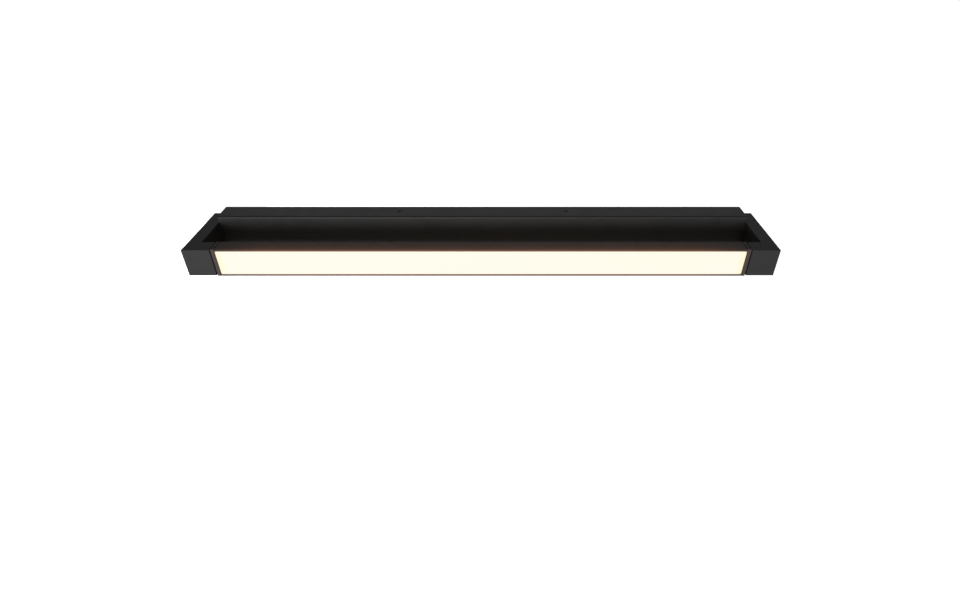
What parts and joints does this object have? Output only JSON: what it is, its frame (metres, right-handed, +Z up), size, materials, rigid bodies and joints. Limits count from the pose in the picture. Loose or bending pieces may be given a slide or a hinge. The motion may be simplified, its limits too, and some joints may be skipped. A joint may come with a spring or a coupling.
{
  "type": "vanity light bar",
  "caption": "Wall-mounted linear LED vanity light: a slim box canopy, two L-shaped arms and a swivelling bar with an opal front lens, all in matte black.",
  "frame": {"origin": "on the wall plane, at the middle of the wall bracket and of its slot pattern", "axes": "+X along the light bar, +Y into the wall, +Z up; the lens faces -Y"},
  "size_m": [0.61, 0.0875, 0.0438],
  "materials": {
    "black_coated_steel": "matte",
    "black_coated_aluminium": "matte",
    "black_screw": "satin",
    "black_plastic": "matte",
    "black_rubber": "matte",
    "zinc_steel": "satin",
    "spring_steel": "satin",
    "green_screw": "satin",
    "tinned_copper": "satin",
    "brass_contact": "satin",
    "terminal_plastic": "satin",
    "driver_plastic": "satin",
    "driver_parts": "satin",
    "green_board": "satin",
    "foam_tape": "matte",
    "bush_plastic": "satin",
    "white_cable": "satin",
    "brown_lead": "satin",
    "blue_lead": "satin",
    "green_yellow_lead": "satin",
    "opal_diffuser": "satin",
    "white_reflector": "matte",
    "white_board": "matte",
    "led_yellow": "satin"
  },
  "bodies": {
    "wall_frame": {"canopy_cover": "black_coated_steel", "right_canopy_end": "black_coated_steel", "left_canopy_end": "black_coated_steel", "canopy_screws": "black_screw", "clinch_nuts": "zinc_steel", "wall_bracket": "zinc_steel", "ground_screw": "green_screw", "ground_lug": "tinned_copper", "terminal_block": "terminal_plastic", "terminal_sleeves": "brass_contact", "terminal_clamp_screws": "zinc_steel", "terminal_mount_screw": "zinc_steel", "driver_case": "driver_plastic", "driver_lid": "driver_plastic", "driver_tape": "foam_tape", "driver_board": "green_board", "driver_transformer": "driver_parts", "driver_capacitors": "driver_parts", "driver_connectors": "terminal_plastic", "arm_cable": "white_cable", "live_lead": "brown_lead", "neutral_lead": "blue_lead", "earth_lead": "green_yellow_lead", "right_arm": "black_coated_aluminium", "left_arm": "black_coated_aluminium", "right_arm_plug": "black_plastic", "left_arm_plug": "black_plastic", "arm_nut_plates": "zinc_steel", "arm_screws": "zinc_steel", "cable_grommet": "black_rubber", "right_pivot_bush": "bush_plastic", "left_pivot_bush": "bush_plastic", "pivot_friction_washers": "bush_plastic", "swivel_stop_pins": "zinc_steel", "right_access_cap": "black_plastic", "left_access_cap": "black_plastic"},
    "light_bar": {"bar_cable": "white_cable", "right_pivot_stud": "zinc_steel", "left_pivot_nipple": "zinc_steel", "pivot_lock_nuts": "zinc_steel", "pivot_disc_springs": "spring_steel", "pivot_adjusting_nuts": "zinc_steel", "bar_housing": "black_coated_aluminium", "right_end_cap": "black_coated_aluminium", "left_end_cap": "black_coated_aluminium", "end_cap_screws": "black_screw", "right_end_gasket": "black_rubber", "left_end_gasket": "black_rubber", "diffuser_lens": "opal_diffuser", "reflector_strips": "white_reflector", "led_board": "white_board", "led_packages": "led_yellow", "thermal_tape": "foam_tape", "board_connector": "white_reflector"}
  },
  "joints": [
    {"name": "bar_swivel", "type": "hinge", "parent": "wall_frame", "child": "light_bar", "pos_m": [0, -0.0789, 0], "axis": [1, 0, 0], "range_deg": [-90, 90]}
  ]
}
